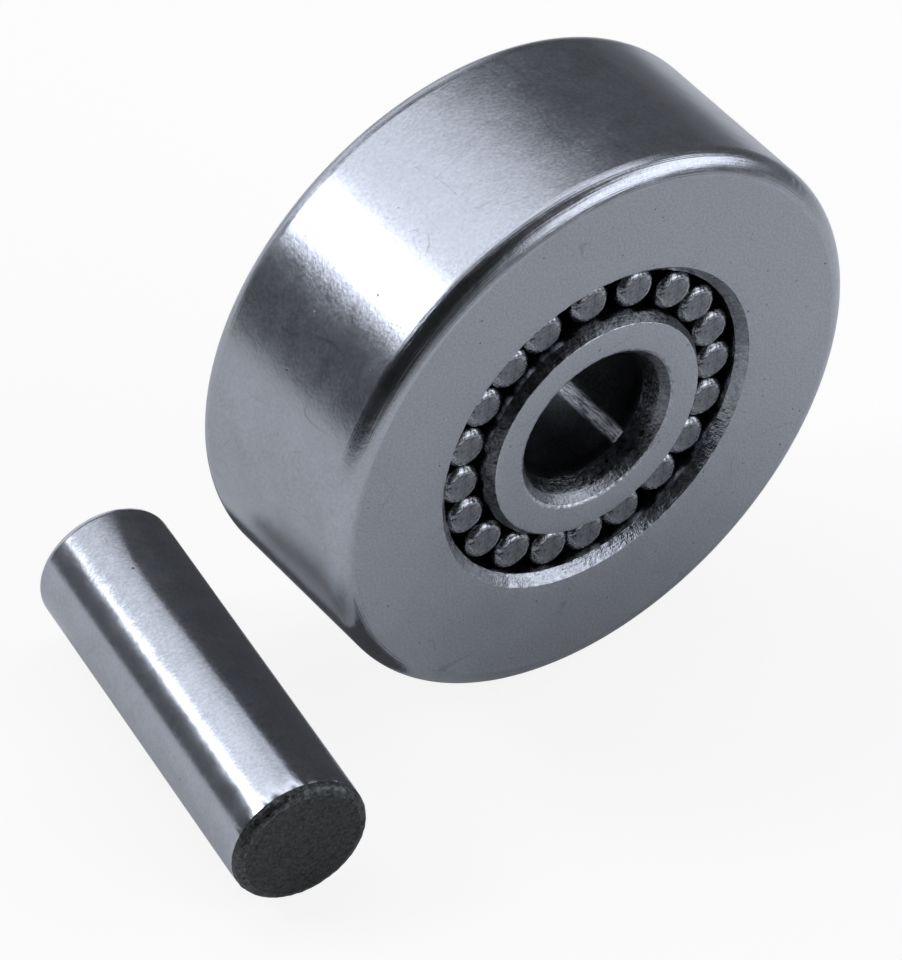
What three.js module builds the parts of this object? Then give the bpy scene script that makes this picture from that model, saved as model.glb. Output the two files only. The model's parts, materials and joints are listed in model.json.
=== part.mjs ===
// Cam follower roller: a thick outer ring that turns on a full complement of needles round an inner
// ring, with the plain pin that it runs on lying beside it. Millimetres, +Z up. The roller stands on
// its tread with its axis along Y, and the origin is on the ground under the middle of the set.

import * as THREE from "three";

// Outer ring
const ROLLER_DIAMETER = 43;
const ROLLER_WIDTH = 16;
const TREAD_CORNER_RADIUS = 1.5;
const OUTER_BORE_CHAMFER = 0.7;

// Inner ring
const INNER_RACEWAY_DIAMETER = 18;
const INNER_EDGE_CHAMFER_RADIAL = 0.5;
const INNER_EDGE_CHAMFER_AXIAL = 0.7;
const BORE_CHAMFER = 0.7;
const LEAD_IN_STEP = 0.6;
const LEAD_IN_LENGTH = 1.5;

// Needles: the rings leave them this much room on each side
const NEEDLE_COUNT = 20;
const NEEDLE_DIAMETER = 3.1;
const NEEDLE_LENGTH = 14.2;
const NEEDLE_EDGE_RADIUS = 0.35;
const NEEDLE_CLEARANCE = 0.05;

// The complement is one part of a needle short of full, so neighbours stand close together except
// at the top, and at a few places below it. Gap i lies between needle i + 1 and the next one.
const CLOSE_STEP = 17.1;
const TOP_STEP = 20.8;
const TOP_GAPS = [0, 18, 19];
const LOOSE_GAPS = [6, 7, 8, 11];

// Pin, a sliding fit in the bore, and where it lies: its middle beside the roller's middle, turned
// about the vertical so that its front end swings away from the roller
const PIN_DIAMETER = 10;
const PIN_LENGTH = 30;
const PIN_EDGE_RADIUS = 0.65;
const PIN_FIT_CLEARANCE = 0.03;
const PIN_SIDE_DISTANCE = 26.9;
const PIN_SETBACK = 0.5;
const PIN_YAW = 8.5;

// Facets
const RING_SEGMENTS = 72;
const NEEDLE_SEGMENTS = 20;
const PIN_SEGMENTS = 48;
const CORNER_STEPS = 4;

const outerRadius = ROLLER_DIAMETER / 2;
const innerRacewayRadius = INNER_RACEWAY_DIAMETER / 2;
const needleRadius = NEEDLE_DIAMETER / 2;
const pitchRadius = innerRacewayRadius + NEEDLE_CLEARANCE + needleRadius;
const outerRacewayRadius = pitchRadius + needleRadius + NEEDLE_CLEARANCE;
const boreRadius = PIN_DIAMETER / 2 + PIN_FIT_CLEARANCE;
const pinRadius = PIN_DIAMETER / 2;

/** Vertex radius of a hole's polygon whose flats lie at the given radius. */
function holeRadius(radius) {
  return radius / Math.cos(Math.PI / RING_SEGMENTS);
}

/** Quarter arc from the end face out to the side, as profile points with x outward and y along the axis. */
function cornerArc(sideRadius, faceHeight, cornerRadius, steps) {
  const inward = Math.sign(faceHeight) * cornerRadius;
  return Array.from({ length: steps + 1 }, (_, i) => {
    const turn = (i / steps) * (Math.PI / 2);
    return new THREE.Vector2(
      sideRadius - cornerRadius + cornerRadius * Math.sin(turn),
      faceHeight - inward + inward * Math.cos(turn),
    );
  });
}

/** The same points at the other end, in the order that carries the profile on round. */
function mirrored(points) {
  return points.map((point) => new THREE.Vector2(point.x, -point.y)).reverse();
}

/** A closed ring turned from half an outline: its upper half, from the bore out to the side. */
function ringGeometry(upperHalf) {
  const outline = [...mirrored(upperHalf), ...upperHalf].reverse();
  outline.push(outline[0].clone());
  return new THREE.LatheGeometry(outline, RING_SEGMENTS);
}

/** A solid cylinder with rounded ends. */
function rollerGeometry(radius, length, edgeRadius, steps, segments) {
  const top = cornerArc(radius, length / 2, edgeRadius, steps);
  const centre = new THREE.Vector2(0, length / 2);
  const half = [centre, ...top];
  return new THREE.LatheGeometry([...half, ...mirrored(half)].reverse(), segments);
}

function outerRingGeometry() {
  const face = ROLLER_WIDTH / 2;
  return ringGeometry([
    new THREE.Vector2(holeRadius(outerRacewayRadius), face - OUTER_BORE_CHAMFER),
    new THREE.Vector2(holeRadius(outerRacewayRadius + OUTER_BORE_CHAMFER), face),
    ...cornerArc(outerRadius, face, TREAD_CORNER_RADIUS, CORNER_STEPS),
  ]);
}

/** The bore opens out twice at each end: a gentle rounded lead-in, then a 45 degree chamfer. */
function innerRingGeometry() {
  const face = ROLLER_WIDTH / 2;
  const chamferStart = face - BORE_CHAMFER;
  const leadIn = Array.from({ length: CORNER_STEPS }, (_, i) => {
    const turn = (i / CORNER_STEPS) * (Math.PI / 2);
    return new THREE.Vector2(
      holeRadius(boreRadius + LEAD_IN_STEP * (1 - Math.cos(turn))),
      chamferStart - LEAD_IN_LENGTH * (1 - Math.sin(turn)),
    );
  });
  const mouthRadius = boreRadius + LEAD_IN_STEP;
  return ringGeometry([
    ...leadIn,
    new THREE.Vector2(holeRadius(mouthRadius), chamferStart),
    new THREE.Vector2(holeRadius(mouthRadius + BORE_CHAMFER), face),
    new THREE.Vector2(innerRacewayRadius - INNER_EDGE_CHAMFER_RADIAL, face),
    new THREE.Vector2(innerRacewayRadius, face - INNER_EDGE_CHAMFER_AXIAL),
  ]);
}

/** Each needle's angle from the top, in radians, anticlockwise as seen from the front. */
function needleAngles() {
  const closeGaps = NEEDLE_COUNT - TOP_GAPS.length - LOOSE_GAPS.length;
  const left = 360 - TOP_STEP * TOP_GAPS.length - CLOSE_STEP * closeGaps;
  const looseStep = left / LOOSE_GAPS.length;
  const angles = [];
  let angle = 0;
  for (let i = 0; i < NEEDLE_COUNT; i++) {
    angles.push(THREE.MathUtils.degToRad(angle));
    if (TOP_GAPS.includes(i)) angle += TOP_STEP;
    else if (LOOSE_GAPS.includes(i)) angle += looseStep;
    else angle += CLOSE_STEP;
  }
  return angles;
}

function steel(color, roughness) {
  return new THREE.MeshStandardMaterial({ color, roughness, metalness: 1 });
}

function piece(name, geometry, material) {
  const mesh = new THREE.Mesh(geometry, material);
  mesh.name = name;
  return mesh;
}

function buildRoller() {
  const roller = new THREE.Group();
  roller.add(piece("outer_ring", outerRingGeometry(), steel(0x9a9ca8, 0.3)));
  roller.add(piece("inner_ring", innerRingGeometry(), steel(0x94969f, 0.35)));
  needleAngles().forEach((angle, i) => {
    const needle = piece(
      `needle_${String(i + 1).padStart(2, "0")}`,
      rollerGeometry(needleRadius, NEEDLE_LENGTH, NEEDLE_EDGE_RADIUS, 1, NEEDLE_SEGMENTS),
      steel(0x8c8e98, 0.25),
    );
    needle.position.set(-pitchRadius * Math.sin(angle), 0, pitchRadius * Math.cos(angle));
    needle.rotation.y = -angle;
    roller.add(needle);
  });
  roller.position.z = outerRadius;
  return roller;
}

function buildPin() {
  const geometry = rollerGeometry(pinRadius, PIN_LENGTH, PIN_EDGE_RADIUS, CORNER_STEPS - 1, PIN_SEGMENTS);
  const pin = piece("pin", geometry, steel(0x9fa1ad, 0.2));
  pin.position.set(-PIN_SIDE_DISTANCE, PIN_SETBACK, pinRadius);
  pin.rotation.z = -THREE.MathUtils.degToRad(PIN_YAW);
  return pin;
}

const camFollower = new THREE.Group();
camFollower.add(buildRoller(), buildPin());

// Bring the origin to the ground under the middle of the set
const extent = new THREE.Box3().setFromObject(camFollower, true);
const middle = extent.getCenter(new THREE.Vector3());
camFollower.position.set(-middle.x, -middle.y, -extent.min.z);

export default camFollower;
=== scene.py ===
"""Looks for a cam follower roller and its loose pin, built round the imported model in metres."""

from __future__ import annotations

import json
import logging
import math
from dataclasses import dataclass, field
from enum import Enum
from typing import Optional

import bpy
import numpy as np
from bpy.types import ID, Material, Mesh, Node, NodeSocket, Object
from mathutils import Matrix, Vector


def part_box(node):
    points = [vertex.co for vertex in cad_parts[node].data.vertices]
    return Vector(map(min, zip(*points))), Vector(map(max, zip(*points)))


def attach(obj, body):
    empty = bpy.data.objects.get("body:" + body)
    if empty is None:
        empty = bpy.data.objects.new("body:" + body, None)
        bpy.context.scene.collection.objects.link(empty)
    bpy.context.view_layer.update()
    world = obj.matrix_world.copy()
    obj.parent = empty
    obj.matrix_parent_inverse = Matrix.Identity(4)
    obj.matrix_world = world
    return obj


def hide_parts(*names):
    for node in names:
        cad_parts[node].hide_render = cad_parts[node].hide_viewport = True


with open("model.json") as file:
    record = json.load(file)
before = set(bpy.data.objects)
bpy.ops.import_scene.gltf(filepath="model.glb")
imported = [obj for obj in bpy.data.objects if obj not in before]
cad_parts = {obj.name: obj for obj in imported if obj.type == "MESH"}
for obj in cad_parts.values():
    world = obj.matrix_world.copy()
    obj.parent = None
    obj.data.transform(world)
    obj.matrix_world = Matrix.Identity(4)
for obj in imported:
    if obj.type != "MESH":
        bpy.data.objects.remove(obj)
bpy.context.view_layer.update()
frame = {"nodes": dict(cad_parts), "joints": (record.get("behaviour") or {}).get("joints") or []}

LOG = logging.getLogger("cam_follower")
MM = 0.001
RING_FACETS = 72
COOL = (0.966, 1.0, 1.087)
MIX_INPUTS = (0, 6, 7)
MIX_RESULT = 2
Vec = tuple[float, float, float]
ORIGIN: Vec = (0.0, 0.0, 0.0)
SIDEWAYS: Vec = (1.0, 0.0, 0.0)
ROLLER_ALONG: Vec = (0.0, 1.0, 0.0)
VECTOR, VALUE = "NodeSocketVector", "NodeSocketFloat"
LEAST_RADIUS, ON_AXIS = 0.05, 1e-6


def towards(heading: float, height: float) -> np.ndarray:
    """Unit vector of a heading from +Y towards +X and a height above the level, both in degrees."""
    level, up = math.radians(heading), math.radians(height)
    return np.array([math.sin(level) * math.cos(up), math.cos(level) * math.cos(up), math.sin(up)])


def look_along(way: np.ndarray) -> np.ndarray:
    """Rotation whose -Z points along way, with +X level.

    Args:
        way: the direction to look in, which isn't straight up or down.

    Returns:
        A 3 by 3 rotation.
    """
    back = -way / np.linalg.norm(way)
    right = np.cross((0.0, 0.0, 1.0), back)
    right /= np.linalg.norm(right)
    return np.stack([right, np.cross(back, right), back], 1)


def matrix_of(turn: np.ndarray, place: np.ndarray) -> Matrix:
    """A Blender matrix from a rotation and a place."""
    whole = np.eye(4)
    whole[:3, :3], whole[:3, 3] = turn, place
    return Matrix(whole.tolist())


def placed(name: str, data: ID) -> Object:
    """A new object in the scene that shows the given data."""
    made = bpy.data.objects.new(name, data)
    bpy.context.scene.collection.objects.link(made)
    return made


class Zone(Enum):
    """A stretch of a turned piece's surface that was finished in its own way."""

    TREAD = "tread"
    CORNER = "corner"
    SIDE = "side"
    CHAMFER = "chamfer"
    RIM = "rim"
    EDGE = "edge"
    RACEWAY = "raceway"
    BORE = "bore"
    BARREL = "barrel"
    END = "end"


@dataclass(frozen=True)
class Corner:
    """One corner of an outline, in millimetres, with the round that breaks it.

    Attributes:
        radius: distance from the axis.
        height: distance along the axis from the piece's middle.
        rounding: radius of the round, 0 for a point on the axis.
        arc: finish of the round itself.
        side: finish of the straight side that leads on from this corner.
    """

    radius: float
    height: float
    rounding: float
    arc: Zone
    side: Zone


@dataclass
class Outline:
    """Half section of a turned piece: straight sides joined by rounds.

    Attributes:
        corners: the corners in order.
        closed: whether the last corner leads back to the first.
        arc_step: longest step round an arc, in degrees.
        side_step: longest step along a straight side, in millimetres.
        shortest: a side shorter than this gets no points of its own, in millimetres.
        margin: how close to a round the first and last points of a side lie, in millimetres.
    """

    corners: list[Corner]
    closed: bool
    arc_step: float = 9.0
    side_step: float = 0.7
    shortest: float = 0.12
    margin: float = 0.03

    def trace(self) -> tuple[np.ndarray, list[Zone], np.ndarray]:
        """Walks the outline.

        Each round is the arc of a circle that touches both of its sides: its centre lies on the bisector of
        the corner, and its points are the centre plus the radius turned evenly from one side's normal to the
        other's.

        Returns:
            The points as (radius, height), the finish of the step that leaves each point, and which point is
            the middle of each corner.
        """
        spots = np.array([(c.radius, c.height) for c in self.corners])
        ends = () if self.closed else (0, len(spots) - 1)
        arcs = [
            spots[i][None] if i in ends else self._arc(spots, i, corner.rounding)
            for i, corner in enumerate(self.corners)
        ]
        parts: list[np.ndarray] = []
        zones: list[Zone] = []
        middles: list[int] = []
        for i, corner in enumerate(self.corners):
            middles.append(sum(map(len, parts)) + len(arcs[i]) // 2)
            parts.append(arcs[i])
            zones += [corner.arc] * (len(arcs[i]) - 1)
            if self.closed or i < len(spots) - 1:
                run = self._run(arcs[i][-1], arcs[(i + 1) % len(spots)][0])
                parts.append(run)
                zones += [corner.side] * (len(run) + 1)
        return np.concatenate(parts), zones, np.array(middles)

    def _arc(self, spots: np.ndarray, i: int, rounding: float) -> np.ndarray:
        """Points of the round at corner i."""
        here = spots[i]
        back, on = spots[i - 1] - here, spots[(i + 1) % len(spots)] - here
        back, on = back / np.linalg.norm(back), on / np.linalg.norm(on)
        half = math.acos(float(np.clip(back @ on, -1, 1))) / 2
        start = here + back * rounding / math.tan(half)
        end = here + on * rounding / math.tan(half)
        bisector = (back + on) / np.linalg.norm(back + on)
        centre = here + bisector * rounding / math.sin(half)
        sweep = math.pi - 2 * half
        steps = max(2, math.ceil(math.degrees(sweep) / self.arc_step))
        t = np.linspace(0, 1, steps + 1)[:, None]
        a, b = start - centre, end - centre
        return centre + (np.sin((1 - t) * sweep) * a + np.sin(t * sweep) * b) / math.sin(sweep)

    def _run(self, start: np.ndarray, end: np.ndarray) -> np.ndarray:
        """Points strictly between two ends of a side, with one close to each end so that it stays flat."""
        length = float(np.linalg.norm(end - start))
        if length < self.shortest:
            return np.zeros((0, 2))
        steps = max(1, math.ceil(length / self.side_step))
        close = self.margin / length
        t = np.concatenate([[close], np.linspace(0, 1, steps + 1)[1:-1], [1 - close]])
        return start + (end - start) * t[:, None]


@dataclass(frozen=True)
class Axis:
    """The line a piece is turned about.

    Attributes:
        centre: the piece's middle, in metres.
        along: unit vector along the line.
    """

    centre: np.ndarray
    along: np.ndarray

    def frame(self) -> tuple[np.ndarray, np.ndarray]:
        """Two unit vectors that make a right-handed set with the axis."""
        level = np.cross(self.along, (0.0, 0.0, 1.0))
        level /= np.linalg.norm(level)
        return level, np.cross(self.along, level)


@dataclass(frozen=True)
class Measured:
    """What the CAD node says about a turned piece.

    Attributes:
        axis: the line it is turned about.
        outer: its largest radius, in millimetres.
        inner: the radius of its hole, in millimetres.
        length: its length along the axis, in millimetres.
    """

    axis: Axis
    outer: float
    inner: float
    length: float

    @staticmethod
    def of(node: str, along: Vec) -> "Measured":
        """Measures a CAD node about an axis through the middle of its box.

        Args:
            node: name of the CAD node.
            along: direction of its axis.

        Returns:
            Its largest and smallest radius and its length. A hole's facets touch its true circle at their
            middles, so the smallest radius is drawn in from their corners.
        """
        low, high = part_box(node)
        centre = (np.array(low) + np.array(high)) / 2
        direction = np.array(along, float) / np.linalg.norm(along)
        mesh = frame["nodes"][node].data
        flat = np.empty(len(mesh.vertices) * 3, np.float32)
        mesh.vertices.foreach_get("co", flat)
        offset = flat.reshape(-1, 3) - centre
        height = offset @ direction
        radius = np.linalg.norm(offset - height[:, None] * direction, axis=1)
        inner = float(radius.min()) * math.cos(math.pi / RING_FACETS)
        span = float(height.max() - height.min())
        return Measured(Axis(centre, direction), float(radius.max()) / MM, inner / MM, span / MM)


@dataclass(frozen=True)
class Relief:
    """Small dents and raggedness of a turned piece's edges, cut in along its normals.

    Attributes:
        seed: number that fixes the random draws.
        nicks: how many dents fall on each edge.
        depth: deepest dent, in millimetres.
        size: widest dent, in millimetres.
        ragged: how far a sharp edge wanders, in millimetres.
        reach: how far from the edge the wandering is felt, in millimetres.
        waves: how many sine waves make up the wandering.
        swing: how much the waves' mean is stretched.
        sharp: an edge with a smaller round than this wanders in full, in millimetres.
        held: share of the wandering that a larger round keeps.
    """

    seed: int
    nicks: int
    depth: float
    size: float
    ragged: float
    reach: float = 0.13
    waves: int = 24
    swing: float = 2.6
    sharp: float = 0.4
    held: float = 0.1

    def push(self, turn: np.ndarray, walk: np.ndarray, radius: np.ndarray, edges: np.ndarray,
             rounds: np.ndarray) -> np.ndarray:
        """How far each grid point moves along its normal, in millimetres, never outwards.

        A dent is a bell curve of the distance to its middle, measured round the piece and along the outline.
        The raggedness is the mean of sine waves round the piece, faded by a bell curve of the distance to the
        edge.

        Args:
            turn: angle of each column of the grid.
            walk: distance of each row along the outline.
            radius: radius of each row.
            edges: where the edges lie along the outline.
            rounds: radius of the round at each edge.

        Returns:
            An array with a row for each turn and a column for each point of the outline.
        """
        rng = np.random.default_rng(self.seed)
        total = np.zeros((len(turn), len(walk)))
        finest = max(8, len(turn) // 6)
        for edge, rounding in zip(edges, rounds):
            away = walk - edge
            waves = rng.integers(3, finest, self.waves)
            phases = rng.uniform(0, 2 * math.pi, self.waves)
            swing = np.sin(turn[:, None] * waves + phases).mean(1) * self.swing
            keep = 1.0 if rounding < self.sharp else self.held
            cut = keep * self.ragged * np.clip(0.5 - 0.5 * swing, 0, 1)
            total -= cut[:, None] * np.exp(-((away / self.reach) ** 2))
            where = rng.uniform(0, 2 * math.pi, self.nicks)
            width = self.size * rng.uniform(0.35, 1.0, self.nicks)
            depth = self.depth * rng.uniform(0.25, 1.0, self.nicks) ** 2
            shift = rng.normal(0, 0.12, self.nicks)
            gap = (turn[:, None] - where + math.pi) % (2 * math.pi) - math.pi
            arc = gap[:, :, None] * radius
            far = (arc / width[:, None]) ** 2 + ((away - shift[:, None]) / (0.6 * width[:, None])) ** 2
            total -= (depth[:, None] * np.exp(-far)).sum(1)
        return total


class NodeTree:
    """Short ways to place and join shader nodes."""

    def __init__(self, tree: bpy.types.NodeTree) -> None:
        """Takes over an empty tree."""
        self.tree = tree

    @classmethod
    def of(cls, owner: ID) -> "NodeTree":
        """The emptied tree of a material, a world or a lamp."""
        owner.use_nodes = True
        owner.node_tree.nodes.clear()
        return cls(owner.node_tree)

    def feed(self, node: Node, values: dict) -> None:
        """Fills a node's inputs.

        Args:
            node: the node.
            values: what to put in each input, by name or number: a plain value, or another node's output.
        """
        for name, value in values.items():
            socket = node.inputs[name]
            if isinstance(value, NodeSocket):
                self.tree.links.new(value, socket)
            else:
                socket.default_value = value

    def node(self, kind: str, values: Optional[dict] = None, **settings: object) -> Node:
        """Adds a node.

        Args:
            kind: the node's type name, without the ShaderNode it starts with.
            values: what to put in its inputs, as feed takes it.
            settings: the node's own properties.

        Returns:
            The node.
        """
        made = self.tree.nodes.new("ShaderNode" + kind)
        for name, value in settings.items():
            setattr(made, name, value)
        self.feed(made, values or {})
        return made

    def math(self, operation: str, *values: object, clamp: bool = False) -> NodeSocket:
        """The output of a Math node."""
        made = self.node("Math", dict(enumerate(values)), operation=operation, use_clamp=clamp)
        return made.outputs[0]

    def vector(self, operation: str, *values: object, output: str = "Vector") -> NodeSocket:
        """An output of a Vector Math node."""
        labels = (0, "Scale") if operation == "SCALE" else range(len(values))
        made = self.node("VectorMath", dict(zip(labels, values)), operation=operation)
        return made.outputs[output]

    def noise(self, vector: object, scale: object, detail: float, rough: float) -> NodeSocket:
        """The value of a Noise Texture."""
        values = {"Vector": vector, "Scale": scale, "Detail": detail, "Roughness": rough}
        return self.node("TexNoise", values).outputs["Fac"]

    def spread(self, value: object, low: float, high: float, to_low: float = 0.0, to_high: float = 1.0,
               smooth: bool = True) -> NodeSocket:
        """A value taken from one range to another and held inside it."""
        values = {"Value": value, "From Min": low, "From Max": high, "To Min": to_low, "To Max": to_high}
        kind = "SMOOTHSTEP" if smooth else "LINEAR"
        return self.node("MapRange", values, interpolation_type=kind).outputs["Result"]

    def mix(self, *values: object) -> NodeSocket:
        """A colour between two others: the values are the share of the second, the first and the second."""
        made = self.node("Mix", dict(zip(MIX_INPUTS, values)), data_type="RGBA")
        return made.outputs[MIX_RESULT]


class GroupKit:
    """The node groups that more than one finish uses, each built once."""

    def __init__(self) -> None:
        """Builds every group."""
        self.turned = self._turned_place()
        self.mottle = self._mottle()
        self.ground = self._ground_lines()
        self.pits = self._pits()
        self.painted_highlight = self._rub_line()
        self.hairlines = self._hairlines()

    @staticmethod
    def _blank(name: str, inputs: dict[str, object], outputs: dict[str, str]
               ) -> tuple[NodeTree, bpy.types.bpy_prop_collection, Node]:
        """An empty group with named sockets.

        Args:
            name: the group's name.
            inputs: default of each input, a tuple for a vector and a number for a plain value.
            outputs: socket type of each output.

        Returns:
            The group's tree, what its inputs give, and its output node.
        """
        group = bpy.data.node_groups.new(name, "ShaderNodeTree")
        for label, default in inputs.items():
            kind = VECTOR if isinstance(default, tuple) else VALUE
            socket = group.interface.new_socket(name=label, in_out="INPUT", socket_type=kind)
            socket.default_value = default
        for label, kind in outputs.items():
            group.interface.new_socket(name=label, in_out="OUTPUT", socket_type=kind)
        given, out = group.nodes.new("NodeGroupInput"), group.nodes.new("NodeGroupOutput")
        return NodeTree(group), given.outputs, out

    def _turned_place(self) -> bpy.types.NodeTree:
        """Where a point lies about a piece's axis, in millimetres: along it, out from it, and which way."""
        t, given, out = self._blank("turned_place", {"Centre": ORIGIN, "Axis": ROLLER_ALONG},
                                    {"Place": VECTOR, "Along": VALUE, "Out": VALUE, "Way": VECTOR})
        point = t.node("TexCoord").outputs["Object"]
        offset = t.vector("SCALE", t.vector("SUBTRACT", point, given["Centre"]), 1 / MM)
        along = t.vector("DOT_PRODUCT", offset, given["Axis"], output="Value")
        level = t.vector("SUBTRACT", offset, t.vector("SCALE", given["Axis"], along))
        t.feed(out, {"Place": offset, "Along": along, "Out": t.vector("LENGTH", level, output="Value"),
                     "Way": t.vector("NORMALIZE", level)})
        return t.tree

    def _mottle(self) -> bpy.types.NodeTree:
        """Soft cloudy unevenness at two sizes, as tumbled or worn steel has."""
        t, given, out = self._blank("mottle", {"Place": ORIGIN, "Coarse": 0.5, "Fine": 4.0},
                                    {"Cloud": VALUE, "Speckle": VALUE})
        cloud = t.node("TexNoise", {"Vector": given["Place"], "Scale": given["Coarse"],
                                              "Detail": 3.0, "Roughness": 0.55, "Distortion": 0.6})
        speckle = t.noise(given["Place"], given["Fine"], 2.0, 0.6)
        t.feed(out, {"Cloud": cloud.outputs["Fac"], "Speckle": speckle})
        return t.tree

    def _ground_lines(self) -> bpy.types.NodeTree:
        """Fine lines left by a wheel or a turning tool, running round the axis."""
        t, given, out = self._blank("ground_lines", {"Along": 0.0, "Out": 0.0, "Way": SIDEWAYS,
                                                     "Pitch": 6.0, "Length": 6.0}, {"Lines": VALUE})
        across = t.node("CombineXYZ", {"X": given["Along"], "Y": given["Out"]})
        stretched = t.vector("SCALE", across.outputs["Vector"], given["Pitch"])
        round_it = t.vector("SCALE", given["Way"], given["Length"])
        t.feed(out, {"Lines": t.noise(t.vector("ADD", stretched, round_it), 1.0, 3.0, 0.6)})
        return t.tree

    def _pits(self) -> bpy.types.NodeTree:
        """Sparse small pits: uneven round holes at the middles of cells, in a share of the cells."""
        t, given, out = self._blank("pits", {"Place": ORIGIN, "Density": 1.2, "Size": 0.1, "Share": 0.3},
                                    {"Pit": VALUE})
        wander = t.node("TexNoise", {"Vector": given["Place"], "Scale": 5.0, "Detail": 2.0})
        shift = t.vector("SCALE", t.vector("SUBTRACT", wander.outputs["Color"], (0.5, 0.5, 0.5)), 0.16)
        shaken = t.vector("ADD", given["Place"], shift)
        cells = t.node("TexVoronoi", {"Vector": shaken, "Scale": given["Density"]})
        reach = t.math("MULTIPLY", given["Size"], given["Density"])
        hole = t.math("SUBTRACT", 1.0, t.math("DIVIDE", cells.outputs["Distance"], reach), clamp=True)
        draw = t.node("SeparateColor", {"Color": cells.outputs["Color"]})
        pick = t.math("LESS_THAN", draw.outputs[0], given["Share"])
        t.feed(out, {"Pit": t.math("MULTIPLY", hole, pick)})
        return t.tree

    def _hairlines(self) -> bpy.types.NodeTree:
        """Long thin scratches: where two broad clouds pass through their middle tone, kept in patches."""
        t, given, out = self._blank("hairlines", {"Place": ORIGIN, "Density": 0.2}, {"Hair": VALUE})
        lines = []
        for shift, stretch in ((3.0, (1.0, 0.35, 1.0)), (17.0, (0.4, 1.0, 0.8))):
            stretched = t.vector("MULTIPLY", given["Place"], stretch)
            moved = t.vector("ADD", stretched, (shift, -shift, shift))
            cloud = t.noise(moved, given["Density"], 1.0, 0.3)
            lines.append(t.spread(t.math("ABSOLUTE", t.math("SUBTRACT", cloud, 0.5)), 0.004, 0.0))
        kept = t.spread(t.noise(given["Place"], 0.4, 2.0, 0.6), 0.5, 0.62)
        t.feed(out, {"Hair": t.math("MULTIPLY", t.math("MAXIMUM", *lines), kept)})
        return t.tree

    def _rub_line(self) -> bpy.types.NodeTree:
        """Where the painted highlight lies: a line along the axis on one side, gone past its width and broken
        into fine strands.
        """
        t, given, out = self._blank("painted_highlight_line", {"Along": 0.0, "Out": 0.0, "Way": SIDEWAYS, "Side": SIDEWAYS,
                                                 "Width": 0.5}, {"PaintedHighlight": VALUE})
        apart = t.vector("DISTANCE", given["Way"], given["Side"], output="Value")
        gap = t.math("DIVIDE", t.math("MULTIPLY", apart, given["Out"]), given["Width"])
        core = t.spread(gap, 1.0, 0.35)
        round_it = t.vector("SCALE", given["Way"], t.math("MULTIPLY", given["Out"], 6.0))
        drift = t.node("CombineXYZ", {"Y": t.math("MULTIPLY", given["Along"], 0.9)})
        strands = t.noise(t.vector("ADD", round_it, drift.outputs["Vector"]), 1.0, 4.0, 0.7)
        t.feed(out, {"PaintedHighlight": t.math("MULTIPLY", core, t.spread(strands, 0.36, 0.6, 0.12, 1.0))})
        return t.tree


@dataclass(frozen=True)
class PaintedHighlightLine:
    """A painted highlight: a light, barely metallic line along a bore, lit by the bore lamp.

    Attributes:
        side: which way it lies from the axis.
        width: half its width, in millimetres.
        tint: its colour, linear.
        metal: how metallic it is.
    """

    side: Vec
    width: float
    tint: Vec = (0.8, 0.84, 0.9)
    metal: float = 0.15


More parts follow.
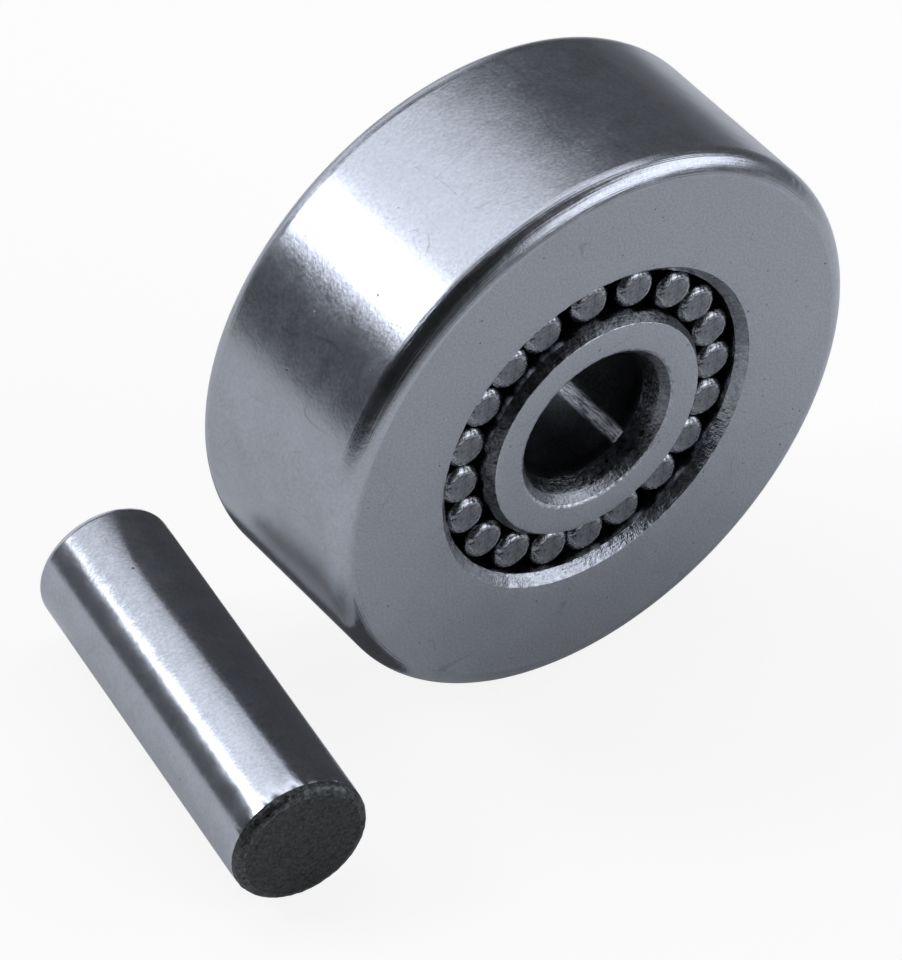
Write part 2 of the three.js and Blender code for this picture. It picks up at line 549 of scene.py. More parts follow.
@dataclass(frozen=True)
class SteelFinish:
    """One way a steel surface was finished.

    Attributes:
        tint: reflected colour, linear.
        shine: lowest and highest roughness.
        patch: strength of the cloudy tone.
        grain: strength of the speckled tone.
        coarse: how many clouds there are in a millimetre.
        fine: how many speckles there are in a millimetre.
        lines: height of the grinding lines, in millimetres.
        pitch: how many lines there are in a millimetre.
        length: how quickly a line changes round the piece.
        bumps: height of the fine unevenness, in millimetres.
        swell: height of the broad unevenness, in millimetres.
        pits: share of cells with a pit.
        pit_size: radius of a pit, in millimetres.
        pit_depth: depth of a pit, in millimetres.
        metal: how metallic the surface is.
        painted_highlight: a painted highlight line along it, if it has one.
        hair: how much a hairline scratch darkens it.
    """

    tint: Vec
    shine: tuple[float, float]
    patch: float = 0.1
    grain: float = 0.2
    coarse: float = 0.5
    fine: float = 5.0
    lines: float = 0.0
    pitch: float = 8.0
    length: float = 8.0
    bumps: float = 0.002
    swell: float = 0.0
    pits: float = 0.0
    pit_size: float = 0.08
    pit_depth: float = 0.02
    metal: float = 1.0
    painted_highlight: Optional[PaintedHighlightLine] = None
    hair: float = 0.0

    def material(self, name: str, axis: Axis, kit: GroupKit) -> Material:
        """Builds the material for one piece.

        Args:
            name: the material's name.
            axis: the axis that the grinding lines run round.
            kit: the shared node groups.

        Returns:
            The material.
        """
        made = bpy.data.materials.new(name)
        t = NodeTree.of(made)
        about = {"Centre": tuple(axis.centre), "Axis": tuple(axis.along)}
        place = t.node("Group", about, node_tree=kit.turned)
        spot = {"Place": place.outputs["Place"]}
        polar = {label: place.outputs[label] for label in ("Along", "Out", "Way")}
        sizes = {"Coarse": self.coarse, "Fine": self.fine}
        mottle = t.node("Group", {**spot, **sizes}, node_tree=kit.mottle)
        turning = {"Pitch": self.pitch, "Length": self.length}
        lines = t.node("Group", {**polar, **turning}, node_tree=kit.ground)
        holes = {"Size": self.pit_size, "Share": self.pits}
        pit = t.node("Group", {**spot, **holes}, node_tree=kit.pits).outputs["Pit"]
        cloud, speckle = mottle.outputs["Cloud"], mottle.outputs["Speckle"]
        tone = t.math("MULTIPLY_ADD", t.math("SUBTRACT", cloud, 0.5), self.patch, 1.0)
        tone = t.math("MULTIPLY_ADD", t.math("SUBTRACT", speckle, 0.5), self.grain, tone)
        tone = t.math("MULTIPLY", tone, t.math("MULTIPLY_ADD", t.spread(pit, 0.0, 0.6), -0.75, 1.0))
        if self.hair:
            hairs = t.node("Group", spot, node_tree=kit.hairlines)
            tone = t.math("MULTIPLY", tone, t.math("MULTIPLY_ADD", hairs.outputs["Hair"], -self.hair, 1.0))
        colour = t.vector("SCALE", self.tint, t.math("MAXIMUM", tone, 0.06))
        metal: object = self.metal
        # Painted highlight: a light, barely metallic line mixed into the colour along one side of the bore.
        if self.painted_highlight:
            painted_highlight_inputs = {**polar, "Side": self.painted_highlight.side, "Width": self.painted_highlight.width}
            painted_highlight_mask = t.node("Group", painted_highlight_inputs, node_tree=kit.painted_highlight).outputs["PaintedHighlight"]
            colour = t.mix(painted_highlight_mask, colour, (*self.painted_highlight.tint, 1.0))
            metal = t.math("MULTIPLY_ADD", painted_highlight_mask, self.painted_highlight.metal - self.metal, self.metal)
        blend = t.math("ADD", t.math("MULTIPLY", cloud, 0.6), t.math("MULTIPLY", speckle, 0.4))
        rough = t.spread(blend, 0.3, 0.7, *self.shine, smooth=False)
        height = t.math("MULTIPLY", speckle, self.bumps)
        height = t.math("MULTIPLY_ADD", cloud, self.swell, height)
        height = t.math("MULTIPLY_ADD", lines.outputs["Lines"], self.lines, height)
        height = t.math("MULTIPLY_ADD", pit, -self.pit_depth, height)
        bump = t.node("Bump", {"Height": height, "Distance": MM, "Strength": 1.0})
        shader = t.node("BsdfPrincipled", {
            "Base Color": colour, "Roughness": rough, "Metallic": metal, "Normal": bump.outputs["Normal"],
        })
        t.node("OutputMaterial", {"Surface": shader.outputs["BSDF"]})
        return made


STEEL = (0.466, 0.484, 0.521)
DULL = (0.33, 0.345, 0.375)
DARK = (0.2, 0.207, 0.224)
FINISHES: dict[str, SteelFinish] = {
    "ground_tread": SteelFinish(
        STEEL, (0.19, 0.28), patch=0.3, grain=0.5, coarse=0.45, fine=4.0, lines=0.002, pitch=2.2,
        length=26.0, bumps=0.006, swell=0.014, pits=0.08, pit_size=0.1, hair=0.25,
    ),
    "rolled_corner": SteelFinish(
        STEEL, (0.15, 0.25), patch=0.3, grain=0.5, lines=0.03, pitch=7.0, length=3.0, bumps=0.008,
        swell=0.012,
    ),
    "ground_side": SteelFinish(
        STEEL, (0.36, 0.46), patch=0.14, grain=0.8, coarse=0.3, fine=5.5, bumps=0.03, lines=0.004,
        pitch=12.0, length=9.0, pits=0.34, pit_size=0.1, pit_depth=0.05, hair=0.2,
    ),
    "turned_chamfer": SteelFinish(
        DULL, (0.15, 0.3), patch=1.0, grain=1.3, coarse=1.1, fine=4.5, lines=0.02, pitch=9.0, length=5.0,
        bumps=0.04, swell=0.03, pits=0.25, pit_size=0.14,
    ),
    "dull_mouth": SteelFinish(
        DARK, (0.22, 0.38), patch=1.4, grain=1.6, coarse=1.2, fine=4.5, lines=0.025, length=6.0,
        bumps=0.04, swell=0.03, pits=0.3, pit_size=0.14,
    ),
    "worn_rim": SteelFinish(
        (0.115, 0.12, 0.13), (0.24, 0.4), patch=2.4, grain=2.6, coarse=1.4, fine=4.5, lines=0.02,
        pitch=9.0, length=4.0, bumps=0.05, swell=0.03, pits=0.4, pit_size=0.16,
    ),
    "rubbed_edge": SteelFinish(
        STEEL, (0.25, 0.4), patch=1.0, grain=1.3, coarse=1.4, fine=5.0, bumps=0.04, swell=0.03,
    ),
    "ground_raceway": SteelFinish(DARK, (0.2, 0.3), patch=0.3, grain=0.4, lines=0.01, pitch=10.0),
    "dark_bore": SteelFinish(
        (0.06, 0.063, 0.068), (0.28, 0.4), patch=0.6, grain=1.2, lines=0.01, pitch=9.0, bumps=0.02,
        # A painted highlight line along the bore.
        painted_highlight=PaintedHighlightLine((0.629, 0.0, -0.777), 0.72),
    ),
    "needle_barrel": SteelFinish(DARK, (0.2, 0.3), patch=0.3, grain=0.4, bumps=0.01),
    "needle_edge": SteelFinish(
        (0.34, 0.352, 0.374), (0.18, 0.32), patch=3.0, grain=3.0, coarse=1.6, fine=4.5, bumps=0.03,
        swell=0.03, pits=0.6, pit_size=0.2,
    ),
    "needle_end": SteelFinish(
        (0.225, 0.233, 0.25), (0.36, 0.5), patch=1.6, grain=1.8, coarse=1.0, fine=4.5, bumps=0.03,
        swell=0.05, pits=0.6, pit_size=0.22,
    ),
    "polished_pin": SteelFinish(
        (0.52, 0.54, 0.58), (0.15, 0.23), patch=0.3, grain=0.45, coarse=0.6, fine=4.5, bumps=0.0035,
        swell=0.01, lines=0.001, pitch=6.0, pits=0.07, pit_size=0.1, hair=0.08,
    ),
    "scaled_end": SteelFinish(
        (0.05, 0.052, 0.051), (0.46, 0.62), patch=0.6, grain=3.0, coarse=0.8, fine=4.0, bumps=0.05,
        swell=0.05, pits=0.3, pit_size=0.12, metal=0.6,
    ),
    "scaled_edge": SteelFinish(
        (0.08, 0.083, 0.082), (0.36, 0.5), patch=1.6, grain=3.0, coarse=1.4, fine=4.0, bumps=0.05,
        swell=0.06, metal=0.9,
    ),
    "scuffed_rim": SteelFinish(
        (0.2, 0.207, 0.215), (0.3, 0.44), patch=1.8, grain=2.2, coarse=1.2, fine=4.0, bumps=0.04,
        swell=0.05,
    ),
}


@dataclass
class TurnedPiece:
    """A piece turned about one axis, which stands for a CAD node.

    Attributes:
        node: the CAD node it stands for.
        body: the CAD body it rides on.
        slot: the record's material slot.
        measured: the CAD node's own sizes.
        segments: columns round the piece.
        relief: the dents and waviness of its edges.
        finishes: the finish of each zone of its surface.
        mirrored: whether other pieces mirror it.
    """

    node: str
    body: str
    slot: str
    measured: Measured
    segments: int
    relief: Relief
    finishes: dict[Zone, str] = field(default_factory=dict)
    mirrored: bool = True

    def outline(self) -> Outline:
        """The piece's half section."""
        raise NotImplementedError

    def grid(self) -> tuple[np.ndarray, list[Zone], bool]:
        """Works out the surface.

        A point at turn a and outline step s is the centre, plus its height along the axis, plus its radius in
        the direction that the turn gives, plus the relief along the outline's normal.

        Returns:
            The points as (turn, step, 3), the zone of each step, and whether the outline is closed.
        """
        outline = self.outline()
        points, zones, edges = outline.trace()
        turn = np.linspace(0, 2 * math.pi, self.segments, endpoint=False)
        gaps = np.linalg.norm(np.diff(points, axis=0), axis=1)
        walk = np.concatenate([[0.0], np.cumsum(gaps)])
        ahead = np.roll(points, -1, 0)
        if outline.closed:
            tangent = ahead - np.roll(points, 1, 0)
        else:
            tangent = np.gradient(points, axis=0)
        tangent /= np.linalg.norm(tangent, axis=1)[:, None]
        area = float(np.sum(points[:, 0] * ahead[:, 1] - ahead[:, 0] * points[:, 1]))
        normal = np.stack([tangent[:, 1], -tangent[:, 0]], 1) * np.sign(area)
        rounds = np.array([c.rounding for c in outline.corners])
        worn = rounds > 0
        radius = np.maximum(points[:, 0], LEAST_RADIUS)
        push = self.relief.push(turn, walk, radius, walk[edges[worn]], rounds[worn])
        push *= points[:, 0] > ON_AXIS
        section = points[None] + normal[None] * push[:, :, None]
        level, other = self.measured.axis.frame()
        way = np.cos(turn)[:, None] * level + np.sin(turn)[:, None] * other
        place = self.measured.axis.centre + MM * (
            section[:, :, 1, None] * self.measured.axis.along + section[:, :, 0, None] * way[:, None]
        )
        return place, zones, outline.closed

    def mesh(self) -> tuple[Mesh, list[Zone]]:
        """Makes the mesh.

        Neighbouring columns are joined by quads, and an end that lies on the axis gets a fan of triangles.

        Returns:
            The mesh, and the zone that each of its material slots is for.
        """
        place, zones, closed = self.grid()
        turns = len(place)
        skipped = 0 if closed else 1
        between = place[:, skipped:place.shape[1] - skipped]
        verts = between.reshape(-1, 3)
        ring = np.arange(len(verts)).reshape(between.shape[:2])
        column = np.arange(turns)
        beyond = (column + 1) % turns
        fans, fan_zone = np.zeros((0, 3), int), np.zeros(0, int)
        if not closed:
            first, last = ring.size, ring.size + 1
            verts = np.concatenate([verts, place[:1, 0], place[:1, -1]])
            fans = np.concatenate([
                np.stack([np.full(turns, first), ring[column, 0], ring[beyond, 0]], 1),
                np.stack([np.full(turns, last), ring[beyond, -1], ring[column, -1]], 1),
            ])
            fan_zone = np.repeat([0, len(zones) - 1], turns)
        row = np.arange(ring.shape[1] - skipped)
        a, b = np.meshgrid(column, row, indexing="ij")
        right, after = (a + 1) % turns, (b + 1) % ring.shape[1]
        quads = np.stack([ring[a, b], ring[a, after], ring[right, after], ring[right, b]], -1).reshape(-1, 4)
        quad_zone = (b + skipped).reshape(-1)
        if self._signed_volume(verts, quads, fans) < 0:
            quads, fans = quads[:, ::-1], fans[:, ::-1]
        used = list(dict.fromkeys(zones))
        step_zone = np.array([used.index(z) for z in zones])
        slots = step_zone[np.concatenate([quad_zone, fan_zone])]
        loops = np.concatenate([quads.reshape(-1), fans.reshape(-1)])
        sizes = np.concatenate([np.full(len(quads), 4), np.full(len(fans), 3)])
        starts = np.concatenate([[0], np.cumsum(sizes)[:-1]])
        mesh = bpy.data.meshes.new(self.node + "_surface")
        mesh.vertices.add(len(verts))
        mesh.vertices.foreach_set("co", verts.astype(np.float32).reshape(-1))
        mesh.loops.add(len(loops))
        mesh.loops.foreach_set("vertex_index", loops.astype(np.int32))
        mesh.polygons.add(len(sizes))
        mesh.polygons.foreach_set("loop_start", starts.astype(np.int32))
        mesh.polygons.foreach_set("use_smooth", np.ones(len(sizes), bool))
        for _ in used:
            mesh.materials.append(None)
        mesh.polygons.foreach_set("material_index", slots.astype(np.int32))
        mesh.update(calc_edges=True)
        mesh.validate()
        return mesh, used

    @staticmethod
    def _signed_volume(verts: np.ndarray, quads: np.ndarray, fans: np.ndarray) -> float:
        """Six times the volume inside the faces, negative where they face inwards."""
        tris = np.concatenate([quads[:, [0, 1, 2]], quads[:, [0, 2, 3]], fans])
        middle = verts.mean(0)
        a, b, c = (verts[tris[:, k]] - middle for k in range(3))
        return float(np.einsum("ij,ij->i", a, np.cross(b, c)).sum())

    def build(self, kit: GroupKit, shared: dict[str, Material]) -> Object:
        """Makes the piece, dresses it and fixes it to its body.

        Args:
            kit: the shared node groups.
            shared: materials made so far, by finish and axis.

        Returns:
            The finished object.
        """
        mesh, used = self.mesh()
        piece = placed(self.node + "_steel", mesh)
        for i, zone in enumerate(used):
            mesh.materials[i] = self.dress(self.finishes[zone], kit, shared)
        piece.visible_glossy = self.mirrored
        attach(piece, self.body)
        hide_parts(self.node)
        LOG.info("%s: %d faces, %d finishes", piece.name, len(mesh.polygons), len(used))
        return piece

    def dress(self, finish: str, kit: GroupKit, shared: dict[str, Material]) -> Material:
        """The material of one zone, made once for each axis."""
        key = f"{finish}_{self.body}"
        if key not in shared:
            shared[key] = FINISHES[finish].material(key, self.measured.axis, kit)
        return shared[key]


@dataclass
class OuterRing(TurnedPiece):
    """The thick ring that rolls on the cam. Its sizes are in millimetres."""

    corner_round: float = 1.5
    chamfer: float = 0.7
    edge_break: float = 0.06

    def outline(self) -> Outline:
        """Bore, chamfers, side faces, rounded corners and tread."""
        face, bore, tread = self.measured.length / 2, self.measured.inner, self.measured.outer
        top = [
            Corner(bore, face - self.chamfer, self.edge_break, Zone.EDGE, Zone.CHAMFER),
            Corner(bore + self.chamfer, face, self.edge_break, Zone.EDGE, Zone.SIDE),
            Corner(tread, face, self.corner_round, Zone.CORNER, Zone.TREAD),
        ]
        foot = [
            Corner(tread, -face, self.corner_round, Zone.CORNER, Zone.SIDE),
            Corner(bore + self.chamfer, -face, self.edge_break, Zone.EDGE, Zone.CHAMFER),
            Corner(bore, self.chamfer - face, self.edge_break, Zone.EDGE, Zone.RACEWAY),
        ]
        return Outline(top + foot, closed=True, arc_step=6.0, side_step=0.9)


@dataclass
class InnerRing(TurnedPiece):
    """The ring that sits on the pin, with a bore that opens out twice at each end, in millimetres."""

    mouth_step: float = 0.6
    lead_length: float = 1.5
    bore_chamfer: float = 0.7
    rim_out: float = 0.5
    rim_back: float = 0.7
    lead_round: float = 2.2
    mouth_round: float = 0.35
    rim_round: float = 0.12

    def outline(self) -> Outline:
        """Bore, lead-ins, chamfers, side faces and raceway."""
        face, bore, race = self.measured.length / 2, self.measured.inner, self.measured.outer
        mouth = bore + self.mouth_step
        top = [
            (bore, face - self.bore_chamfer - self.lead_length, self.lead_round, Zone.BORE),
            (mouth, face - self.bore_chamfer, self.mouth_round, Zone.RIM),
            (mouth + self.bore_chamfer, face, self.mouth_round, Zone.EDGE),
            (race - self.rim_out, face, self.rim_round, Zone.EDGE),
            (race, face - self.rim_back, self.rim_round, Zone.RIM),
        ]
        sides = [Zone.RIM, Zone.CHAMFER, Zone.SIDE, Zone.RIM, Zone.RACEWAY]
        foot = [(radius, -height, rounding, arc) for radius, height, rounding, arc in reversed(top)]
        foot_sides = [Zone.RIM, Zone.SIDE, Zone.CHAMFER, Zone.RIM, Zone.BORE]
        corners = [Corner(*spot, side) for spot, side in zip(top + foot, sides + foot_sides)]
        return Outline(corners, closed=True)


@dataclass
class Roller(TurnedPiece):
    """A solid cylinder with rounded ends: a needle or the pin. Its sizes are in millimetres.

    Attributes:
        edge_round: radius of the round between the side and an end.
        step: longest step along a straight side.
        back_edge: finish of the round at the back.
        crisp_rim: whether the front has two chamfers and a crisp rim instead of a round.
        skin: how far the surface lies inside the CAD solid.
    """

    edge_round: float = 0.3
    step: float = 0.6
    back_edge: Zone = Zone.EDGE
    crisp_rim: bool = False
    skin: float = 0.006

    def outline(self) -> Outline:
        """From the middle of the back end, over the side, to the middle of the front end.

        The two chamfers stay inside the round that they stand for.
        """
        half, radius = self.measured.length / 2 - self.skin, self.measured.outer - self.skin
        size, inset = self.edge_round, self.edge_round * (1 - math.sqrt(0.5))
        front = [Corner(radius, -half, size, Zone.EDGE, Zone.END)]
        if self.crisp_rim:
            front = [
                Corner(radius, size - half, size / 2, Zone.EDGE, Zone.EDGE),
                Corner(radius - inset, inset - half, size / 2, Zone.EDGE, Zone.EDGE),
                Corner(radius - size, -half, size / 8, Zone.RIM, Zone.END),
            ]
        corners = [
            Corner(0.0, half, 0.0, Zone.END, Zone.END),
            Corner(radius, half, size, self.back_edge, Zone.BARREL),
            *front,
            Corner(0.0, -half, 0.0, Zone.END, Zone.END),
        ]
        return Outline(corners, closed=False, side_step=self.step)


@dataclass(frozen=True)
class SoftBox:
    """A flat studio light with soft edges, given as the object sees it.

    Attributes:
        name: its name.
        heading: where its middle lies on the level, in degrees from +Y towards +X.
        height: how high its middle stands above the level, in degrees.
        half: half its width and half its height over its distance.
        radiance: how bright its surface is.
        feather: share of its half width and half height over which it fades out.
        roll: turn about its own line of sight, in degrees.
        distance: how far away it hangs, in metres.
    """

    name: str
    heading: float
    height: float
    half: tuple[float, float]
    radiance: float
    feather: tuple[float, float] = (0.3, 0.3)
    roll: float = 0.0
    distance: float = 1.2

    def hang(self, target: np.ndarray) -> None:
        """Puts the light up, facing a target given in metres."""
        lamp = bpy.data.lights.new(self.name, "AREA")
        lamp.shape = "RECTANGLE"
        lamp.size, lamp.size_y = (2 * self.distance * half for half in self.half)
        lamp.energy = self.radiance * math.pi * lamp.size * lamp.size_y
        t = NodeTree.of(lamp)
        spot = t.node("NewGeometry").outputs["Parametric"]
        across = t.node("SeparateXYZ", {"Vector": spot})
        fades = []
        for label, feather in zip("XY", self.feather):
            from_middle = t.math("ABSOLUTE", t.math("MULTIPLY_ADD", across.outputs[label], 2.0, -1.0))
            fades.append(t.spread(from_middle, 1.0, 1.0 - feather))
        glow = t.node("Emission", {"Color": (*COOL, 1.0), "Strength": t.math("MULTIPLY", *fades)})
        t.node("OutputLight", {"Surface": glow.outputs["Emission"]})
        light = placed(self.name, lamp)
        way = towards(self.heading, self.height)
        cos, sin = math.cos(math.radians(self.roll)), math.sin(math.radians(self.roll))
        spin = np.array([[cos, -sin, 0], [sin, cos, 0], [0, 0, 1]])
        light.matrix_world = matrix_of(look_along(-way) @ spin, target + way * self.distance)
        light.visible_camera = False


@dataclass(frozen=True)
class BoreLamp:
    """A narrow spot that reaches into the bore from the front.

    Attributes:
        heading: where it stands on the level, in degrees from +Y towards +X.
        height: how high it stands above the level, in degrees.
        distance: how far away it stands, in metres.
        reach: radius of its pool of light, in metres.
        power: its power, in watts.
        blend: share of the pool over which it fades out.
        size: radius of the lamp itself, in metres.
    """

    heading: float = -155.0
    height: float = 33.0
    distance: float = 0.6
    reach: float = 0.0062
    power: float = 13.0
    blend: float = 0.4
    size: float = 0.01

    def hang(self) -> None:
        """Puts the spot up, facing the middle of the inner ring's front."""
        low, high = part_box("inner_ring")
        target = np.array([(low[0] + high[0]) / 2, low[1], (low[2] + high[2]) / 2])
        lamp = bpy.data.lights.new("bore_lamp", "SPOT")
        lamp.energy, lamp.spot_blend, lamp.shadow_soft_size = self.power, self.blend, self.size
        lamp.spot_size = 2 * math.atan(self.reach / self.distance)
        light = placed("bore_lamp", lamp)
        way = towards(self.heading, self.height)
        light.matrix_world = matrix_of(look_along(-way), target + way * self.distance)
        # Hidden from reflections, it lights the painted highlight line in the bore.
        light.visible_glossy = False


@dataclass(frozen=True)
class Floor:
    """A plain pale floor: one disc, even to the camera; for everything else it has a painted shadow at the
    outer ring's foot and painted dimming far away.

    Attributes:
        radius: radius of the disc, in metres.
        sides: how many sides its edge has.
        foot: distances from the outer ring's foot at which the painted shadow there is deepest and gone, in
            metres.
        foot_tone: share of the tone left in the painted shadow at the foot.
        middle: the point that the painted far dimming is measured from, in metres.
        far: distances from there at which the painted dimming starts and is full, in metres.
        far_tone: share of the tone left far away, where the dimming is painted.
        pale: share of light given back, to anything but the camera.
        seen_pale: the same to the camera.
        glow: its own light, to the camera.
        soft_glow: the same to anything else.
    """

    radius: float = 3.0
    sides: int = 96
    foot: tuple[float, float] = (0.0, 0.042)
    foot_tone: float = 0.62
    middle: Vec = (-0.08, 0.06, 0.0)
    far: tuple[float, float] = (0.15, 0.24)
    far_tone: float = 0.25
    pale: float = 0.98
    seen_pale: float = 0.2
    glow: float = 0.86
    soft_glow: float = 0.09

    def lay(self) -> None:
        """Lays the disc, whose edge is points turned evenly about the middle of the set."""
        turn = np.linspace(0, 2 * math.pi, self.sides, endpoint=False)
        ring = self.radius * np.stack([np.cos(turn), np.sin(turn), 0 * turn], 1)
        mesh = bpy.data.meshes.new("floor")
        mesh.from_pydata(ring.tolist(), [], [list(range(self.sides))])
        mesh.materials.append(self.material())
        placed("floor", mesh)

    def material(self) -> Material:
        """The floor's material."""
        made = bpy.data.materials.new("pale_floor")
        t = NodeTree.of(made)
        seen = t.node("LightPath").outputs["Is Camera Ray"]
        place = t.node("TexCoord").outputs["Object"]
        low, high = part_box("outer_ring")
        foot = ((low[0] + high[0]) / 2, low[1], 0.0)
        # Painted shadow at the outer ring's foot times painted dimming far away: both darken the floor's
        # colour and glow for every ray but the camera's.
        near = t.spread(t.vector("DISTANCE", place, foot, output="Value"), *self.foot, self.foot_tone, 1.0)
        away = t.vector("DISTANCE", place, self.middle, output="Value")
        tone = t.math("MULTIPLY", near, t.spread(away, *self.far, 1.0, self.far_tone))
        pale = t.mix(tone, (*ORIGIN, 1.0), (self.pale, self.pale, self.pale, 1.0))
        warm = tuple(self.seen_pale / part for part in COOL)
        matt = t.node("BsdfDiffuse", {"Color": t.mix(seen, pale, (*warm, 1.0))})
        soft = t.math("MULTIPLY", tone, self.soft_glow)
        strength = t.math("MAXIMUM", t.math("MULTIPLY", seen, self.glow), soft)
        glow = t.node("Emission", {"Strength": strength})
        both = t.node("AddShader", {0: matt.outputs["BSDF"], 1: glow.outputs["Emission"]})
        t.node("OutputMaterial", {"Surface": both.outputs["Shader"]})
        return made


@dataclass(frozen=True)
class PaintedReflectionCard:
    """A dark sheet between the pin and the roller, seen only in mirrors, that paints a dark reflection.

    It stands in for the roller's reflection on the pin's flank, which it paints plain and dark, and gives the
    tread's lower left a painted dark reflection. Its first sheet follows the roller's flank from the floor
    up, and is clear from the roller's side. The last two rows are a low sheet that faces the roller.

    Attributes:
        rows: place of each row of points past the outer ring's left side and above the floor.
        front: how far it reaches past the outer ring's front.
        back: how far it reaches past the outer ring's back.
        tone: how bright its dark side glows, the brightness of the painted reflection.
    """

    rows: tuple[tuple[float, float], ...] = (
        (6.0, 0.5), (0.6, 13.0), (-0.2, 17.0), (-0.3, 21.5), (1.1, 13.0), (6.5, 0.5),
    )
    front: float = 4.0
    back: float = 9.0
    tone: float = 0.075

    def stand(self) -> None:
        """Stands the card up: each row is the same line from front to back, moved to its place."""
        low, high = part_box("outer_ring")
        lean = np.array(self.rows) * MM + (low[0], 0.0)
        reach = np.array([low[1] - self.front * MM, high[1] + self.back * MM])
        across, along = np.meshgrid(np.arange(len(lean)), np.arange(2), indexing="ij")
        spots = np.stack([lean[across, 0], reach[along], lean[across, 1]], -1).reshape(-1, 3)
        first = 2 * np.array([0, 1, 2, 4])
        faces = np.stack([first, first + 2, first + 3, first + 1], 1)
        mesh = bpy.data.meshes.new("painted_reflection_card")
        mesh.from_pydata(spots.tolist(), [], faces.tolist())
        made = bpy.data.materials.new("painted_reflection_card")
        t = NodeTree.of(made)
        # The painted dark reflection: a faint glow from the sheet's front, clear from its back.
        painted_reflection_glow = t.node("Emission", {"Color": (*COOL, 1.0), "Strength": self.tone})
        side = t.node("MixShader", {
            "Fac": t.node("NewGeometry").outputs["Backfacing"],
            1: painted_reflection_glow.outputs["Emission"], 2: t.node("BsdfTransparent").outputs["BSDF"],
        })
        t.node("OutputMaterial", {"Surface": side.outputs["Shader"]})
        mesh.materials.append(made)
        card = placed("painted_reflection_card", mesh)
        card.visible_camera = card.visible_diffuse = card.visible_shadow = False


@dataclass(frozen=True)
class Studio:
    """Camera, floor, surroundings and lights.

    Attributes:
        heading: way the camera looks on the level, in degrees from +Y towards +X.
        pitch: how far it looks down, in degrees.
        distance: from the camera to the point it aims at, in metres.
        lens: focal length, in millimetres.
        sensor: width of the camera's frame, in millimetres.
        clip: nearest and farthest distance that it sees, in metres.
        aim: point it aims at, from the middle of the set's base, in metres.
        lit: point that the soft boxes face, in metres.
        dim_way: heading and height of the surroundings' dimmest part, in degrees.
        dim_edge: cosine of the angle from there at which the dimness starts and is full.
        tones: how bright the surroundings are in general and at their dimmest.
        seen_tone: how bright the camera sees them.
    """

    heading: float = 36.71
    pitch: float = 44.65
    distance: float = 0.4838
    lens: float = 273.9
    sensor: float = 36.0
    clip: tuple[float, float] = (0.01, 20.0)
    aim: Vec = (-0.0045, -0.0065, 0.0215)
    lit: Vec = (0.0, 0.0, 0.025)
    dim_way: tuple[float, float] = (-115.0, 32.0)
    dim_edge: tuple[float, float] = (0.45, 0.8)
    tones: tuple[float, float] = (0.115, 0.022)
    seen_tone: float = 0.92

    def camera(self) -> None:
        """Sets the camera up."""
        way = towards(self.heading, -self.pitch)
        data = bpy.data.cameras.new("studio_camera")
        data.sensor_width, data.lens = self.sensor, self.lens
        data.clip_start, data.clip_end = self.clip
        eye = placed("studio_camera", data)
        eye.matrix_world = matrix_of(look_along(way), np.array(self.aim) - way * self.distance)
        bpy.context.scene.camera = eye

    def backdrop(self) -> None:
        """Gives the surroundings their tone: pale to the camera, dim in mirrors and dimmer on one side."""
        world = bpy.data.worlds.new("surroundings")
        bpy.context.scene.world = world
        t = NodeTree.of(world)
        seen = t.node("LightPath").outputs["Is Camera Ray"]
        way = t.node("TexCoord").outputs["Generated"]
        near = t.vector("DOT_PRODUCT", way, tuple(towards(*self.dim_way)), output="Value")
        dim = t.vector("SCALE", COOL, t.spread(near, *self.dim_edge, *self.tones))
        pale = (self.seen_tone, self.seen_tone, self.seen_tone, 1.0)
        glow = t.node("Background", {"Color": t.mix(seen, dim, pale)})
        t.node("OutputWorld", {"Surface": glow.outputs["Background"]})

    def lights(self) -> None:
        """Hangs the soft boxes and the lamp for the bore."""
        for box in (
            SoftBox("overhead_box", 20.0, 64.0, (1.0, 0.46), 1.55, (0.25, 1.0), -4.0),
            SoftBox("strip_box", -45.5, 36.0, (0.2, 0.14), 5.5, (0.25, 0.3)),
            SoftBox("side_box", 134.0, 17.0, (0.8, 0.62), 1.85, (0.45, 0.7)),
            SoftBox("back_wall", 2.0, 12.0, (0.7, 0.36), 0.95, (0.5, 0.6)),
        ):
            box.hang(np.array(self.lit))
        BoreLamp().hang()

    def build(self) -> None:
        """Sets up everything that isn't part of the object."""
        self.camera()
        Floor().lay()
        self.backdrop()
        # A painted dark reflection for the pin's flank and the tread's lower left.
        PaintedReflectionCard().stand()
        self.lights()
        bpy.context.scene.view_settings.view_transform = "Standard"


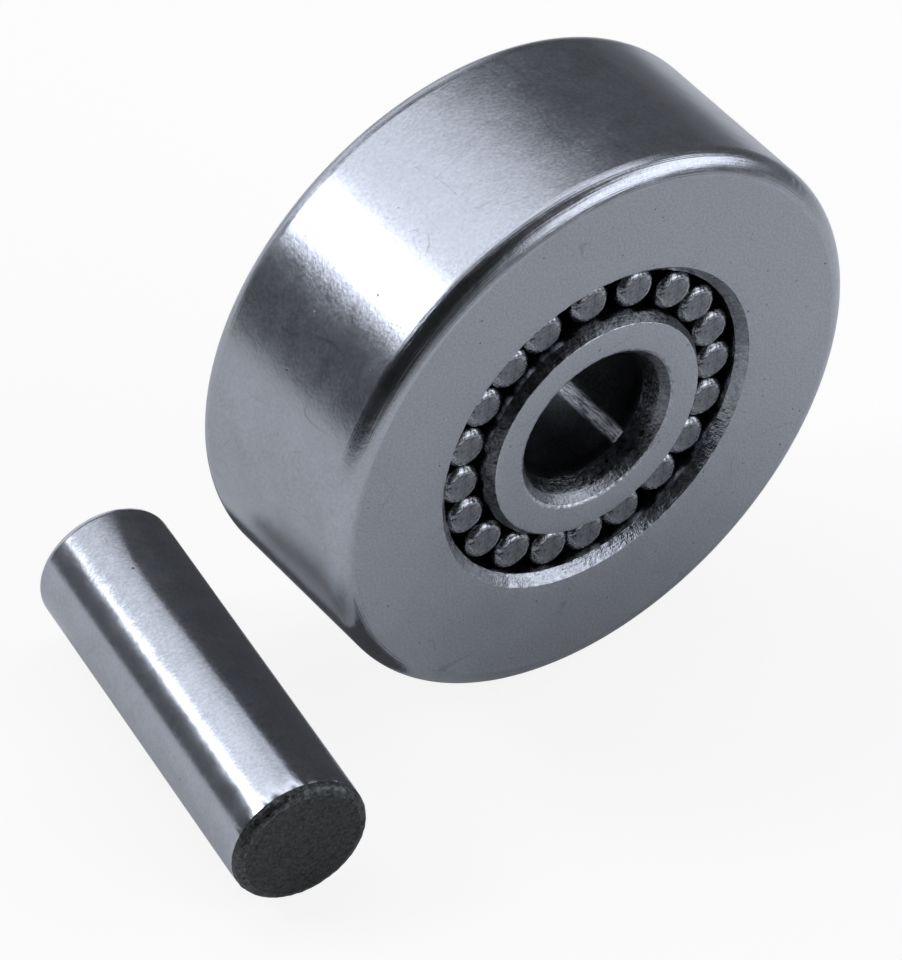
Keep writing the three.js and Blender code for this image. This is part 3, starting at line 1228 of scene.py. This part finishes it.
def pin_along() -> Vec:
    """Direction of the pin's axis, which its slide joint gives."""
    joint = next(j for j in frame["joints"] if j["name"] == "pin_slide")
    return tuple(-v for v in joint["axis"])


def pieces() -> list[TurnedPiece]:
    """Every piece of the object, in order."""
    ring = {
        Zone.TREAD: "ground_tread", Zone.CORNER: "rolled_corner", Zone.SIDE: "ground_side",
        Zone.CHAMFER: "turned_chamfer", Zone.EDGE: "rubbed_edge", Zone.RACEWAY: "ground_raceway",
        Zone.BORE: "dark_bore", Zone.RIM: "worn_rim",
    }
    needle = {Zone.END: "needle_end", Zone.EDGE: "needle_edge", Zone.BARREL: "needle_barrel"}
    pin = {Zone.END: "scaled_end", Zone.EDGE: "scaled_edge", Zone.BARREL: "polished_pin",
           Zone.RIM: "scuffed_rim"}
    made: list[TurnedPiece] = [
        OuterRing("outer_ring", "outer_ring", "outer_ring_steel",
                  Measured.of("outer_ring", ROLLER_ALONG), 720, Relief(11, 30, 0.035, 0.3, 0.06), ring),
        InnerRing("inner_ring", "inner_ring", "inner_ring_steel",
                  Measured.of("inner_ring", ROLLER_ALONG), 480, Relief(23, 24, 0.035, 0.3, 0.05),
                  {**ring, Zone.CHAMFER: "dull_mouth"}),
    ]
    for i, node in enumerate(sorted(n for n in frame["nodes"] if n.startswith("needle_"))):
        made.append(Roller(node, node, "needle_steel", Measured.of(node, ROLLER_ALONG), 72,
                           Relief(100 + i, 5, 0.06, 0.35, 0.5), needle, edge_round=0.5, step=1.2))
    made.append(Roller("pin", "pin", "pin_steel", Measured.of("pin", pin_along()), 360,
                       Relief(41, 30, 0.04, 0.25, 0.07), pin, mirrored=False, edge_round=0.65, step=0.8,
                       back_edge=Zone.BARREL, crisp_rim=True))
    return made


def main() -> None:
    """Builds the studio and every piece."""
    logging.basicConfig(level=logging.INFO, format="%(name)s %(message)s")
    Studio().build()
    kit = GroupKit()
    shared: dict[str, Material] = {}
    for piece in pieces():
        piece.build(kit, shared)


if __name__ == "__main__":
    main()
